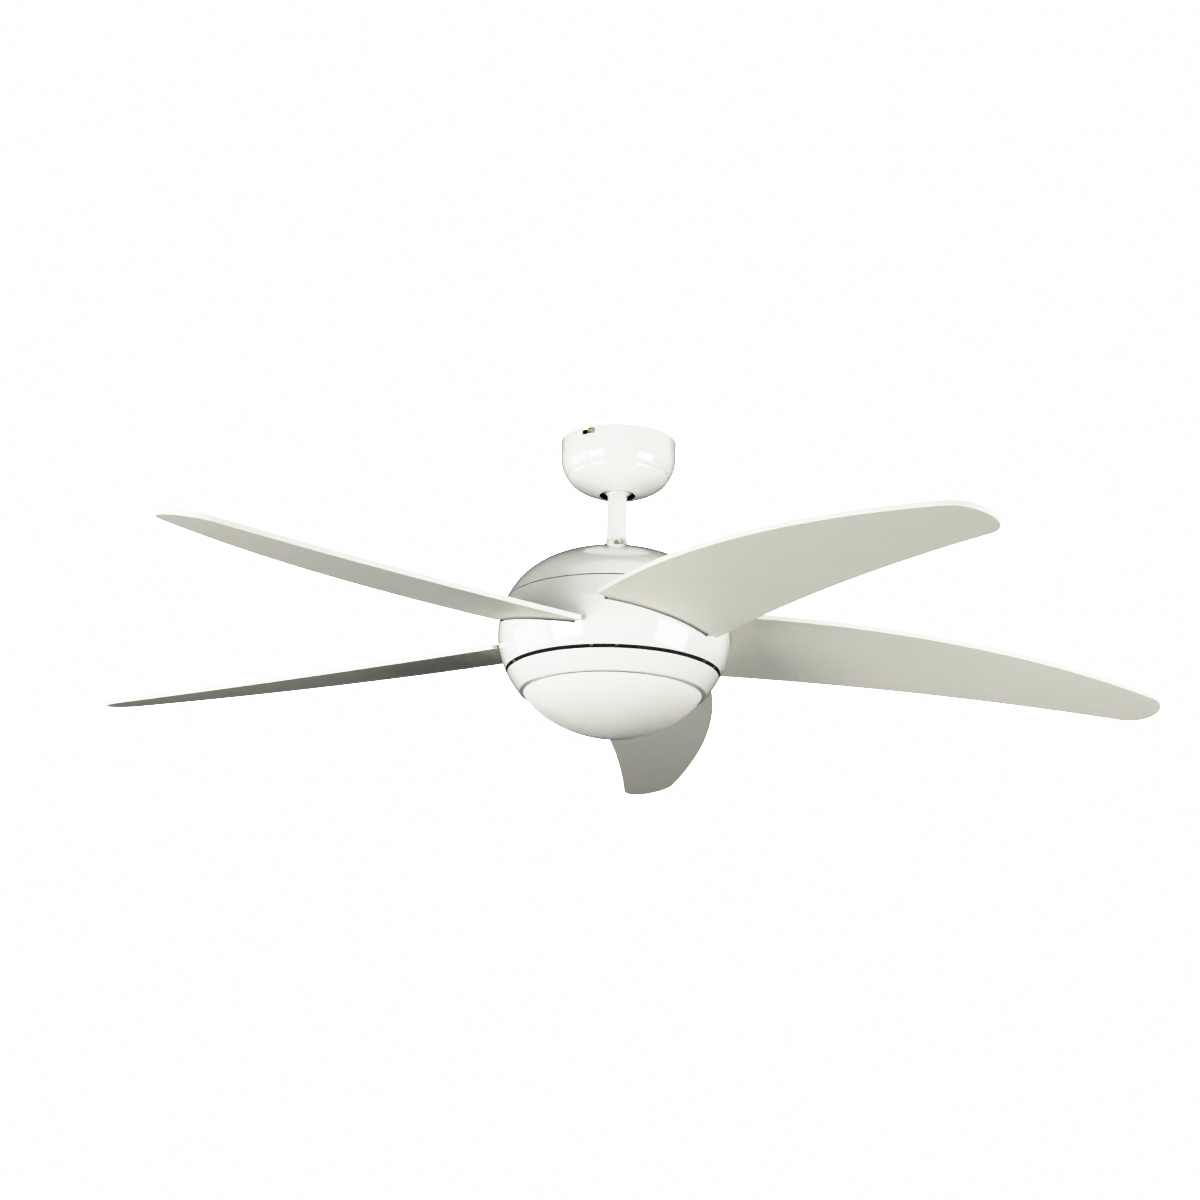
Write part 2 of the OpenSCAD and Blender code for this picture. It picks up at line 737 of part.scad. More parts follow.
module housing_screws() {
    top_z = dome_zc + dome_h - 2;
    color("silver") {
        for (i = [0:posts - 1]) at_azimuth(30 + i * 360 / posts, post_circle_r, top_z) screw(1.9, 12, 3.6, 1.6);
        for (i = [0:blades - 1])
            at_azimuth((i + 0.5) * blade_step, plate_screw_r, plate_z) mirror([0, 0, 1]) screw(1.9, 8, 3.6, 1.2);
        rim_screw_places(plate_z) mirror([0, 0, 1]) screw(1.2, 2.8, 2.2, 1);
    }
}

module base_plate() {
    rim_gap = 0.3;
    color("dimgray")
    difference() {
        ring(lower_wall(shell, ring_end_z, plate_z, 1)[1][0] - rim_gap, 24, plate_z, plate_z + plate_t);
        for (i = [0:blades - 1])
            at_azimuth((i + 0.5) * blade_step, plate_screw_r, plate_z - 1) cylinder(r = 2.2, h = plate_t + 2);
        rim_screw_places(plate_z - 1) cylinder(r = 1.4, h = plate_t + 2);
    }
}

module plate_standoffs() {
    color("silver")
    for (i = [0:blades - 1]) at_azimuth((i + 0.5) * blade_step, plate_screw_r, plate_z + plate_t)
        difference() {
            cylinder(r = 4.5, h = motor_end_z - plate_z - plate_t, $fn = 6);
            translate([0, 0, -1]) cylinder(r = 1.9, h = 10);
        }
}

// ---- light kit ------------------------------------------------------------------------------

module kit_coupling() {
    color("silver")
    difference() {
        union() {
            translate([0, 0, pan_top_z]) cylinder(r = 14, h = 17.5);
            translate([0, 0, pan_top_z]) cylinder(r = 36, h = 2);
        }
        translate([0, 0, pan_top_z - 1]) cylinder(r = shaft_r, h = 30);
        for (i = [0:2]) at_azimuth(i * 120 + 90, 28, pan_top_z - 1) cylinder(r = 1.8, h = 5);
    }
}

module shaft_nut() {
    color("silver")
    translate([0, 0, pan_top_z + 17.5])
        difference() {
            cylinder(r = 12.5, h = 6, $fn = 6);
            translate([0, 0, -1]) cylinder(r = shaft_r, h = 8);
        }
}

pan_steel = 1.5;
pan_tabs = 3;

module light_pan() {
    color("white")
    difference() {
        union() {
            rotate_extrude($fn = 128)
                polygon(concat([[10, pan_top_z]], lower_wall(0, pan_top_z, pan_end_z, 10), [[99.6, pan_end_z - 0.4]],
                    [[99.6, pan_end_z + 1.4]],
                    reversed(lower_wall(pan_steel, pan_top_z - pan_steel, pan_end_z + 1.6, 10)),
                    [[10, pan_top_z - pan_steel]]));
            for (i = [0:pan_tabs - 1]) rotate([0, 0, 79 + i * 360 / pan_tabs])
                translate([0, 0, -296]) rotate_extrude(angle = 22)
                    translate([93.5, 0]) square([13, 1.5]);
        }
        for (i = [0:2]) at_azimuth(i * 120 + 90, 28, pan_top_z - 3) cylinder(r = 2, h = 6);
        for (x = [-50, 50]) translate([x, 0, pan_top_z - 3]) cylinder(r = 2, h = 6);
        switch_place() translate([-switch_travel - 2.2, -8, -2]) cube([2 * switch_travel + 4.4, 14, 4]);
    }
}

module pan_screws() {
    color("silver") {
        for (i = [0:2]) at_azimuth(i * 120 + 90, 28, pan_top_z - pan_steel)
            mirror([0, 0, 1]) screw(1.75, 3.4, 3.4, 1.8);
        for (x = [-50, 50]) translate([x, 0, pan_top_z - 2 * pan_steel])
            mirror([0, 0, 1]) screw(1.9, 3, 3.6, 1.8);
    }
}

module capacitor() {
    color("black")
    difference() {
        translate([0, 72, -294]) rounded_block(40, 22, 294 + pan_top_z - pan_steel, 3);
        for (x = [-8, 8]) translate([x, 72, -295]) cylinder(r = 1.5, h = 4);
    }
}

// The switch's own frame on the pan's slanting wall at the back: x along its travel,
// y out of the wall, z up the wall
module switch_place() {
    wall_r = ring_r * pow(cos(bow_angle(-ring_h, ring_zc, ring_n, switch_z)), ring_n);
    translate([0, wall_r, switch_z]) rotate([switch_slant, 0, 0]) children();
}

module reverse_switch() {
    color("black")
    switch_place()
        difference() {
            translate([-switch_size[0] / 2, -2.5 - switch_size[1], -switch_size[2] / 2]) cube(switch_size);
            translate([-switch_travel - 2, -5, -1.8]) cube([2 * switch_travel + 4, 4, 3.6]);
        }
}

module reverse_knob() {
    color("whitesmoke")
    switch_place() translate([-switch_travel, 0, 0])
        union() {
            translate([-1.7, -4.6, -1.4]) cube([3.4, 6.4, 2.8]);
            for (x = [-1, 0, 1]) translate([x, 1.8, -1.4]) cylinder(r = 0.35, h = 2.8, $fn = 24);
        }
}

module lampholder_bracket() {
    color("lightsteelblue")
    difference() {
        union() {
            translate([-64, -14, pan_top_z - 2 * pan_steel]) cube([128, 28, pan_steel]);
            for (turn = [0, 180]) rotate([0, 0, turn])
                translate([-64, -14, -318]) cube([pan_steel, 57, 318 + pan_top_z - 2 * pan_steel + 1]);
        }
        for (turn = [0, 180]) rotate([0, 0, turn])
            translate([-66, 28, lamp_z]) rotate([0, 90, 0]) cylinder(r = 5, h = 6);
        for (x = [-50, 50]) translate([x, 0, pan_top_z - 6]) cylinder(r = 2, h = 6);
        for (i = [0:2]) at_azimuth(i * 120 + 90, 28, pan_top_z - 6) cylinder(r = 4.2, h = 6);
        translate([0, 0, pan_top_z - 6]) cylinder(r = 9, h = 6);
    }
}

// A lamp's own frame: x runs from its holder to its bulb
module lamp_frame(i) {
    rotate([0, 0, i * 180]) translate([0, 28, lamp_z]) rotate([0, 90, 0]) children();
}

module lampholder(i) {
    color("whitesmoke")
    lamp_frame(i) {
        difference() {
            union() {
                translate([0, 0, -62.5]) cylinder(r = 14, h = 12);
                translate([0, 0, -54]) cylinder(r = 16.5, h = 22);
                translate([0, 0, -36]) cylinder(r = 17.5, h = 4);
            }
            translate([0, 0, -57.5]) cylinder(r = 13.6, h = 30);
            translate([0, 0, -66]) cylinder(r = 4, h = 20);
        }
    }
}

module lamp_cap(i) {
    threads = 5;
    color("goldenrod")
    lamp_frame(i) {
        translate([0, 0, -55]) cylinder(r = 5, h = 3.2);
        translate([0, 0, -52]) cylinder(r = 12.4, h = 21);
        for (k = [0:threads - 1]) translate([0, 0, -50.5 + k * 3.6])
            rotate_extrude() translate([12.2, 0]) circle(r = 1, $fn = 24);
    }
}

module lamp_globe(i) {
    color("white")
    lamp_frame(i) {
        translate([0, 0, 3]) sphere(r = lamp_r);
        translate([0, 0, -31]) cylinder(r1 = 13, r2 = 17.2, h = 19.6);
    }
}

module shade_ring() {
    color("silver") {
        rotate_extrude($fn = 128) polygon([[90, -301.5], [95.3, -301.5], [95.3, -300], [92.4, -300],
            [92.4, -292.7], [90, -292.7]]);
        for (i = [0:pan_tabs - 1]) rotate([0, 0, 81 + i * 360 / pan_tabs])
            translate([0, 0, -294.2]) rotate_extrude(angle = 18)
                translate([92, 0]) square([5.6, 1.5]);
    }
}

function glass_wall_points(in, steps) =
    bow_arc(glass_r - in, -(glass_depth - in), glass_zc, glass_n,
        bow_angle(-(glass_depth - in), glass_zc, glass_n, glass_rim_z), 90, steps);

module glass_shade() {
    color("ivory")
    rotate_extrude($fn = 128) polygon(concat(glass_wall_points(0, 24), reversed(glass_wall_points(glass_wall, 24))));
}

// ---- nodes -----------------------------------------------------------------------------------

hanger_bracket();
canopy();
canopy_screws();
receiver_box();
terminal_block();
mains_lead();
fan_lead_upper();
hanger_ball();
ball_pin();
ball_set_screw();
downrod();
fan_lead_lower();
yoke();
yoke_pin();
hairpin_clip();
yoke_set_screw();
yoke_cover();
motor_shaft();
stator_core();
stator_windings();
bearing_inner_races();
bearing_balls();
bearing_outer_races();
rotor_ring();
motor_upper_cover();
motor_lower_cover();
motor_screws();
blade_bracket(0);  // blade_bracket_1
blade_bracket(1);  // blade_bracket_2
blade_bracket(2);  // blade_bracket_3
blade_bracket(3);  // blade_bracket_4
blade_bracket(4);  // blade_bracket_5
bracket_screws();
blade(0);  // blade_1
blade(1);  // blade_2
blade(2);  // blade_3
blade(3);  // blade_4
blade(4);  // blade_5
blade_screws();
upper_housing();
slotted_housing();
housing_screws();
base_plate();
plate_standoffs();
kit_coupling();
shaft_nut();
light_pan();
pan_screws();
capacitor();
reverse_switch();
reverse_knob();
lampholder_bracket();
lampholder(0);  // lampholder_1
lampholder(1);  // lampholder_2
lamp_cap(0);  // lamp_cap_1
lamp_cap(1);  // lamp_cap_2
lamp_globe(0);  // lamp_globe_1
lamp_globe(1);  // lamp_globe_2
shade_ring();
glass_shade();
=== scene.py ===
import json
import math

import bmesh
import bpy
from mathutils import Matrix, Vector


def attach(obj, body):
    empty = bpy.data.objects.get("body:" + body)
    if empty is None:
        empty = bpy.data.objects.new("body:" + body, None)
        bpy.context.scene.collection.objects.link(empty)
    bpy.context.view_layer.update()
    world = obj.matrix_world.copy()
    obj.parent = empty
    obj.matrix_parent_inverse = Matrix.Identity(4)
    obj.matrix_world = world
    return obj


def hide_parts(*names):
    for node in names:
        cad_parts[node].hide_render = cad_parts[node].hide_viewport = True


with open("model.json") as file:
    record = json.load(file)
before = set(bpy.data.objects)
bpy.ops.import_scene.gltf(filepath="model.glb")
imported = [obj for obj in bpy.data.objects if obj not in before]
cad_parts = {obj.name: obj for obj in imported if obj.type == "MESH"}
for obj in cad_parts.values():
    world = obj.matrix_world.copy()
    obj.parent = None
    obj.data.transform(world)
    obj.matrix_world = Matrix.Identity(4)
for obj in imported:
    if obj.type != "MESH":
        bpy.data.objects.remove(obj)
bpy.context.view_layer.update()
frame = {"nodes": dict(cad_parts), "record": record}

nodes = frame["nodes"]
MM = 0.001

# ---- driving sizes, in millimetres, the same as the CAD's ----------------------------------------

CANOPY_R = 66.0
CANOPY_WALL = 1.0
CANOPY_RIM_Z = -0.3
CANOPY_STRAIGHT_Z = -17.0
CANOPY_STEP_Z = -41.6
CANOPY_DEPTH = 66.8
CANOPY_HOLE_R = 20.4
KEY_Z = -7.0
KEY_AZ = -124.0
KEY_ENTRY_AZ = -131.6
LOCK_AZ = -141.4

ROD_R = 11.1
ROD_WALL = 2.0
ROD_TOP_Z = -28.0
ROD_END_Z = -138.0
YOKE_PIN_Z = -124.5
YOKE_PIN_AZ = -59.0
COVER_DISC_Z = -129.0
COLLAR_R = 14.2

DOME = dict(r=131.3, h=108.3, zc=-242.2, n=0.832)
BELLY = dict(r=130.9, h=-114.4, zc=-231.5, n=1.024)
GLASS = dict(r=104.2, h=-61.2, zc=-287.6, n=1.195)
SHELL = 1.2
SEAM_Z = -194.9
SEAM_GAP = 1.0
DOME_HOLE_R = 17.0
RING_END_Z = -273.8
PLATE_TOP_Z = -271.9
PAN_TOP_Z = -277.5
PAN_END_Z = -298.6
PAN_STEEL = 1.5
GLASS_WALL = 3.0
GLASS_RIM_Z = -299.4

SWEEP_D = 1320.0
BLADE_T = 6.0
BLADE_PITCH = 11.41
BLADE_DROOP = 1.106
BLADE_Z = -234.34
BLADES = 5
BLADE_STEP = 360.0 / BLADES

LAMPS = 2
LAMP_R = 22.5
LAMP_Z = -306.0
LAMP_Y = 28.0

ROUND = 192          # segments round a turned part
ROUND_LARGE = 256    # and round the large shells
ON_AXIS_R = 1e-6     # a point of an outline this near the axis is on it
SHARP = 35.0         # degrees; an edge sharper than this stays crisp


# ---- outlines ------------------------------------------------------------------------------------

def bow(shape, angle, inset=0.0):
    """A point of a rounded outline, from its widest radius (0) to its axis (90 degrees)."""
    a = math.radians(angle)
    h = shape["h"] - math.copysign(inset, shape["h"])
    return ((shape["r"] - inset) * max(math.cos(a), 0.0) ** shape["n"],
            shape["zc"] + h * math.sin(a) ** shape["n"])


def bow_angle_at_z(shape, z, inset=0.0):
    """The angle at which a rounded outline passes a height."""
    h = shape["h"] - math.copysign(inset, shape["h"])
    return math.degrees(math.asin(max((z - shape["zc"]) / h, 0.0) ** (1 / shape["n"])))


def bow_angle_at_r(shape, r, inset=0.0):
    """The angle at which a rounded outline passes a radius."""
    return math.degrees(math.acos((r / (shape["r"] - inset)) ** (1 / shape["n"])))


def bow_run(shape, a0, a1, steps, inset=0.0):
    """The points of a rounded outline from one angle to another."""
    return [bow(shape, a0 + (a1 - a0) * i / steps, inset) for i in range(steps + 1)]


def bow_radius(shape, z, inset=0.0):
    """Radius at a height; past its widest circle the outline keeps that radius."""
    return bow(shape, bow_angle_at_z(shape, z, inset), inset)[0]


def smoothstep(t):
    t = min(max(t, 0.0), 1.0)
    return t * t * (3 - 2 * t)


def housing_radius(z, inset=0.0):
    """The turning housing: the dome's curve above its middle runs into the belly's curve below."""
    upper_end, lower_start = -222.0, -250.0
    share = smoothstep((z - upper_end) / (lower_start - upper_end))
    return bow_radius(DOME, z, inset) * (1 - share) + bow_radius(BELLY, z, inset) * share


def rounded(points, radii, steps=4):
    """A closed outline with the corners named in radii {index: size} rounded."""
    out = []
    count = len(points)
    for i, point in enumerate(points):
        size = radii.get(i, radii.get(i - count, 0.0))
        p = Vector(point)
        if not size:
            out.append(tuple(p))
            continue
        back = Vector(points[i - 1]) - p
        ahead = Vector(points[(i + 1) % count]) - p
        start = p + back.normalized() * min(size, back.length * 0.5)
        end = p + ahead.normalized() * min(size, ahead.length * 0.5)
        for k in range(steps + 1):
            t = k / steps
            out.append(tuple(start * (1 - t) ** 2 + p * 2 * t * (1 - t) + end * t * t))
    return out


# ---- mesh helpers --------------------------------------------------------------------------------

def make_object(name, verts, faces, sharp=SHARP):
    """A mesh object from corners in millimetres."""
    weld = 1e-7      # metres; corners this close are one
    mesh = bpy.data.meshes.new(name)
    mesh.from_pydata([tuple(c * MM for c in v) for v in verts], [], faces)
    bm = bmesh.new()
    bm.from_mesh(mesh)
    bmesh.ops.remove_doubles(bm, verts=bm.verts, dist=weld)
    bmesh.ops.recalc_face_normals(bm, faces=bm.faces)
    bm.to_mesh(mesh)
    bm.free()
    obj = bpy.data.objects.new(name, mesh)
    bpy.context.scene.collection.objects.link(obj)
    smooth(obj, sharp)
    return obj


def smooth(obj, sharp=SHARP):
    """Shades the faces smooth, and keeps the edges sharper than this angle crisp."""
    for polygon in obj.data.polygons:
        polygon.use_smooth = True
    obj.data.set_sharp_from_angle(angle=math.radians(sharp))


def lathe(name, outline, segments=ROUND, sharp=SHARP):
    """Turns a closed outline of (radius, height) pairs about the Z axis."""
    verts, faces, rings = [], [], []
    for r, z in outline:
        if r < ON_AXIS_R:
            rings.append([len(verts)] * segments)
            verts.append((0, 0, z))
            continue
        rings.append(list(range(len(verts), len(verts) + segments)))
        for k in range(segments):
            a = 2 * math.pi * k / segments
            verts.append((r * math.cos(a), r * math.sin(a), z))
    for i in range(len(rings)):
        one, two = rings[i], rings[(i + 1) % len(rings)]
        for k in range(segments):
            k2 = (k + 1) % segments
            corners = [one[k], one[k2], two[k2], two[k]]
            face = list(dict.fromkeys(corners))
            if len(face) > 2:
                faces.append(face)
    return make_object(name, verts, faces, sharp)


def box_cutter(low, high, matrix):
    """A box to cut with, from its low to its high corner, in millimetres, placed by a matrix."""
    corners = [(x, y, z) for x in (low[0], high[0]) for y in (low[1], high[1])
               for z in (low[2], high[2])]
    faces = [(0, 1, 3, 2), (4, 6, 7, 5), (0, 4, 5, 1), (2, 3, 7, 6), (0, 2, 6, 4), (1, 5, 7, 3)]
    return make_object("cutter", [matrix @ Vector(c) for c in corners], faces)


def rod_cutter(r, x0, x1, matrix):
    """A round bar to cut with, along x from x0 to x1, placed by a matrix."""
    segments = 40
    verts, faces = [], []
    for x in (x0, x1):
        for k in range(segments):
            a = 2 * math.pi * k / segments
            verts.append(matrix @ Vector((x, r * math.cos(a), r * math.sin(a))))
    for k in range(segments):
        k2 = (k + 1) % segments
        faces.append((k, k2, segments + k2, segments + k))
    faces.append(tuple(range(segments)))
    faces.append(tuple(range(2 * segments - 1, segments - 1, -1)))
    return make_object("cutter", verts, faces)


def apply_modifiers(obj):
    """Turns what the object's modifiers make of its mesh into its mesh."""
    graph = bpy.context.evaluated_depsgraph_get()
    mesh = bpy.data.meshes.new_from_object(obj.evaluated_get(graph))
    obj.modifiers.clear()
    old = obj.data
    obj.data = mesh
    bpy.data.meshes.remove(old)


def clear_slivers(obj):
    """Closes up the very short edges that a cut leaves where it meets a corner."""
    smallest = 2e-6      # metres
    bm = bmesh.new()
    bm.from_mesh(obj.data)
    bmesh.ops.remove_doubles(bm, verts=bm.verts, dist=smallest)
    bmesh.ops.dissolve_degenerate(bm, edges=bm.edges, dist=smallest)
    bm.to_mesh(obj.data)
    bm.free()


def cut(obj, cutters):
    """Takes each cutter away from the object and deletes it."""
    for cutter in cutters:
        boolean = obj.modifiers.new("cut", "BOOLEAN")
        boolean.operation = "DIFFERENCE"
        boolean.solver = "EXACT"
        boolean.object = cutter
        apply_modifiers(obj)
        bpy.data.objects.remove(cutter)
    clear_slivers(obj)
    smooth(obj)


def turn_z(degrees):
    return Matrix.Rotation(math.radians(degrees), 4, "Z")


def move(x, y, z):
    return Matrix.Translation((x, y, z))


def blade_matrix(i):
    """A blade's own frame: x outward, y to the trailing side, z = 0 on its underside."""
    return (turn_z(i * BLADE_STEP) @ move(0, 0, BLADE_Z)
            @ Matrix.Rotation(math.radians(BLADE_DROOP), 4, "Y")
            @ Matrix.Rotation(math.radians(-BLADE_PITCH), 4, "X"))


# ---- materials -----------------------------------------------------------------------------------

COAT_ROUGHNESS = 0.04
SCATTER_DEPTH = 0.008                  # metres that light travels inside opal glass
SCATTER_TINT = (1.0, 0.9, 0.75)
WEAR_GRAIN = 3.1                       # wear is finer than the colour's own grain by this factor
NOISE_LOW, NOISE_HIGH = 0.3, 0.7       # the range that a noise seldom leaves
MIX_A, MIX_B, MIX_RESULT = 6, 7, 2     # the colour sockets of a Mix node


def material(name, color, tint, rough, metallic=0.0, grain=60.0, stretch=(1, 1, 1), bump=0.0,
             bump_grain=900.0, coat=0.0, subsurface=0.0, pattern="noise", bands=0.0, turned=False):
    """A surface whose colour runs between color and tint, and whose roughness runs over rough,
    both by noise of the given grain (per metre); bump is the height of its fine relief in mm. With
    bands, the relief is in stacked layers, or in rings about the axis if it is turned."""
    mat = bpy.data.materials.new(name)
    mat.use_nodes = True
    tree = mat.node_tree
    shader = tree.nodes["Principled BSDF"]

    def add(kind, **values):
        node = tree.nodes.new(kind)
        for key, value in values.items():
            setattr(node, key, value)
        return node

    coords = add("ShaderNodeTexCoord")
    mapping = add("ShaderNodeMapping")
    mapping.inputs["Scale"].default_value = stretch
    tree.links.new(coords.outputs["Object"], mapping.inputs["Vector"])

    def noise(scale, detail):
        node = add("ShaderNodeTexNoise")
        node.inputs["Scale"].default_value = scale
        node.inputs["Detail"].default_value = detail
        tree.links.new(mapping.outputs["Vector"], node.inputs["Vector"])
        return node

    shade = noise(grain, detail=4.0).outputs["Fac"]
    if pattern == "spangle":
        cells = add("ShaderNodeTexVoronoi")
        cells.inputs["Scale"].default_value = grain
        tree.links.new(mapping.outputs["Vector"], cells.inputs["Vector"])
        shade = cells.outputs["Color"]
    ramp = add("ShaderNodeMix", data_type="RGBA")
    ramp.inputs[MIX_A].default_value = (*color, 1)
    ramp.inputs[MIX_B].default_value = (*tint, 1)
    tree.links.new(shade, ramp.inputs[0])
    tree.links.new(ramp.outputs[MIX_RESULT], shader.inputs["Base Color"])

    wear = noise(grain * WEAR_GRAIN, detail=3.0)
    levels = add("ShaderNodeMapRange")
    levels.inputs["From Min"].default_value = NOISE_LOW
    levels.inputs["From Max"].default_value = NOISE_HIGH
    levels.inputs["To Min"].default_value = rough[0]
    levels.inputs["To Max"].default_value = rough[1]
    tree.links.new(wear.outputs["Fac"], levels.inputs["Value"])
    tree.links.new(levels.outputs["Result"], shader.inputs["Roughness"])

    relief = noise(bump_grain, detail=2.0).outputs["Fac"]
    if bands:
        wave = add("ShaderNodeTexWave", wave_type="RINGS" if turned else "BANDS")
        if turned:
            wave.rings_direction = "Z"
        else:
            wave.bands_direction = "Z"
        wave.inputs["Scale"].default_value = bands
        wave.inputs["Distortion"].default_value = 0.4
        tree.links.new(mapping.outputs["Vector"], wave.inputs["Vector"])
        relief = wave.outputs["Fac"]
    if bump:
        lift = add("ShaderNodeBump")
        lift.inputs["Strength"].default_value = 1.0
        lift.inputs["Distance"].default_value = bump * MM
        tree.links.new(relief, lift.inputs["Height"])
        tree.links.new(lift.outputs["Normal"], shader.inputs["Normal"])

    shader.inputs["Metallic"].default_value = metallic
    if coat:
        shader.inputs["Coat Weight"].default_value = coat
        shader.inputs["Coat Roughness"].default_value = COAT_ROUGHNESS
    if subsurface:
        shader.inputs["Subsurface Weight"].default_value = subsurface
        shader.inputs["Subsurface Scale"].default_value = SCATTER_DEPTH
        shader.inputs["Subsurface Radius"].default_value = SCATTER_TINT
    return mat


# Powder coat: smooth and glossy, with the faint orange peel that a sprayed coat dries to
gloss_white = material("gloss_white_paint", (0.80, 0.815, 0.748), (0.785, 0.80, 0.734), (0.08, 0.13),
                       grain=14, bump=0.004, bump_grain=420, coat=1.0)
# Inside the shells: near-black painted shade, standing in for the shadow that fills them
painted_shade = material("inside_painted_shade", (0.016, 0.016, 0.017), (0.026, 0.025, 0.025), (0.6, 0.75),
                  grain=70, bump=0.014, bump_grain=1000)
# Blade faces: satin lacquer rolled over fibreboard, slightly warm, with a fine tooth
blade_face = material("blade_face_lacquer", (0.80, 0.788, 0.69), (0.775, 0.762, 0.665), (0.42, 0.55),
                      grain=22, bump=0.010, bump_grain=1500, stretch=(1, 1.4, 1))
# Blade edges: glossy cream lacquer, painted lighter than the faces as painted light from the lamps at
# eye level
blade_edge_painted_light = material("blade_edge_lacquer", (0.91, 0.91, 0.80), (0.87, 0.87, 0.75), (0.28, 0.42),
                      grain=180, bump=0.020, bump_grain=1100)
# Opal glass: white flashed glass, acid-etched matt outside, light scatters within it
opal = material("opal_glass_matt", (0.835, 0.82, 0.74), (0.815, 0.797, 0.716), (0.34, 0.42),
                grain=9, bump=0.003, bump_grain=2600, subsurface=0.35)
lamp_glass = material("lamp_bulb_frost", (0.88, 0.88, 0.86), (0.85, 0.85, 0.83), (0.30, 0.40),
                      grain=30, bump=0.002, bump_grain=2400, subsurface=0.2)
nylon = material("white_nylon_matt", (0.82, 0.82, 0.79), (0.78, 0.78, 0.75), (0.36, 0.48),
                 grain=80, bump=0.008, bump_grain=1300)
zinc = material("zinc_plated_sheet", (0.55, 0.57, 0.60), (0.68, 0.68, 0.66), (0.26, 0.42), metallic=1.0,
                grain=260, bump=0.004, bump_grain=1800, pattern="spangle")
nickel = material("nickel_screw", (0.62, 0.60, 0.56), (0.70, 0.68, 0.64), (0.20, 0.34), metallic=1.0,
                  grain=400, bump=0.004, bump_grain=2600)
brass = material("yellow_brass", (0.58, 0.49, 0.34), (0.70, 0.62, 0.48), (0.24, 0.38), metallic=1.0,
                 grain=350, bump=0.004, bump_grain=2400)
black_paint = material("black_painted_steel", (0.012, 0.012, 0.012), (0.022, 0.021, 0.020), (0.5, 0.7),
                       grain=90, bump=0.012, bump_grain=1200)
ground_steel = material("ground_bearing_steel", (0.62, 0.62, 0.63), (0.72, 0.72, 0.73), (0.10, 0.20),
                        metallic=1.0, grain=300, bump=0.002, bands=900)
laminations = material("stacked_laminations", (0.12, 0.12, 0.13), (0.20, 0.19, 0.19), (0.40, 0.55),
                       metallic=0.9, grain=500, bump=0.05, bands=640)
copper = material("enamelled_copper_wire", (0.50, 0.19, 0.07), (0.66, 0.29, 0.12), (0.22, 0.34),
                  metallic=0.9, grain=120, bump=0.12, bands=420, turned=True)
cast_aluminium = material("cast_aluminium", (0.52, 0.52, 0.52), (0.62, 0.62, 0.61), (0.38, 0.55),
                          metallic=1.0, grain=140, bump=0.03, bump_grain=700)
white_plastic = material("white_moulding", (0.80, 0.80, 0.77), (0.77, 0.77, 0.74), (0.24, 0.36),
                         grain=60, bump=0.006, bump_grain=1500)
black_plastic = material("black_moulding", (0.02, 0.02, 0.021), (0.03, 0.03, 0.03), (0.36, 0.5),
                         grain=120, bump=0.012, bump_grain=1400)
sheath = material("cable_sheath", (0.035, 0.035, 0.036), (0.05, 0.05, 0.05), (0.5, 0.65),
                  grain=200, bump=0.02, bump_grain=900)

NODE_MATERIALS = {
    "gloss_white_paint": gloss_white, "white_nylon": nylon, "blade_lacquer": blade_face,
    "opal_glass": opal, "lamp_glass": lamp_glass, "zinc_steel": zinc, "screw_steel": nickel,
    "brass_screw": brass, "black_steel": black_paint, "ground_steel": ground_steel,
    "laminations": laminations, "copper_wire": copper, "cast_aluminium": cast_aluminium,
    "white_plastic": white_plastic, "black_plastic": black_plastic, "cable_sheath": sheath,
}
slot_of = {part["node"]: part["material_slot"] for part in frame["record"]["subparts"]}
for name, obj in nodes.items():
    for material_slot in obj.material_slots:
        material_slot.material = NODE_MATERIALS[slot_of[name]]


def place(piece, body, node, *mats):
    """Gives a new piece its materials, its body and the CAD node it stands for."""
    for mat in mats:
        piece.data.materials.append(mat)
    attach(piece, body)
    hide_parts(node)


def paint_inside_shade(piece, centre_z, lip_z=None):
    """Gives the second material, a near-black painted shade, to every face of a shell that doesn't look
    out: its inside and its cut edges, and everything above lip_z, where a lip tucks in behind the next
    shell."""
    edge_on = 0.3
    middle = Vector((0, 0, centre_z * MM))
    for polygon in piece.data.polygons:
        outwards = polygon.normal.dot((polygon.center - middle).normalized())
        if outwards < edge_on or (lip_z is not None and polygon.center.z > lip_z * MM):
            polygon.material_index = 1


# ---- canopy --------------------------------------------------------------------------------------

def canopy_wall(inset, steps):
    """From the rim down the straight wall, in round the cove, over the small step and down the bowl."""
    cove_r, cove_h, cove_angle, cove_lift = 14.0, 28.4, 60.0, 0.4
    step_in, bowl_start = 7.8, 1.5
    bowl = dict(r=CANOPY_R - step_in, h=-(CANOPY_DEPTH + CANOPY_STEP_Z), zc=CANOPY_STEP_Z, n=1.18)
    points = [(CANOPY_R - inset, CANOPY_RIM_Z), (CANOPY_R - inset, CANOPY_STRAIGHT_Z)]
    for i in range(1, steps + 1):
        a = math.radians(cove_angle * i / steps)
        points.append((CANOPY_R - cove_r * (1 - math.cos(a)) - inset,
                       CANOPY_STRAIGHT_Z - cove_h * math.sin(a) + inset * cove_lift * i / steps))
    last = bow_angle_at_r(bowl, CANOPY_HOLE_R, inset)
    points += bow_run(bowl, bowl_start, last, 2 * steps, inset)
    return points


def at_rim(azimuth):
    """The frame of the keyholes: x out through the canopy's wall, z = 0 at their height."""
    return turn_z(azimuth) @ move(0, 0, KEY_Z)


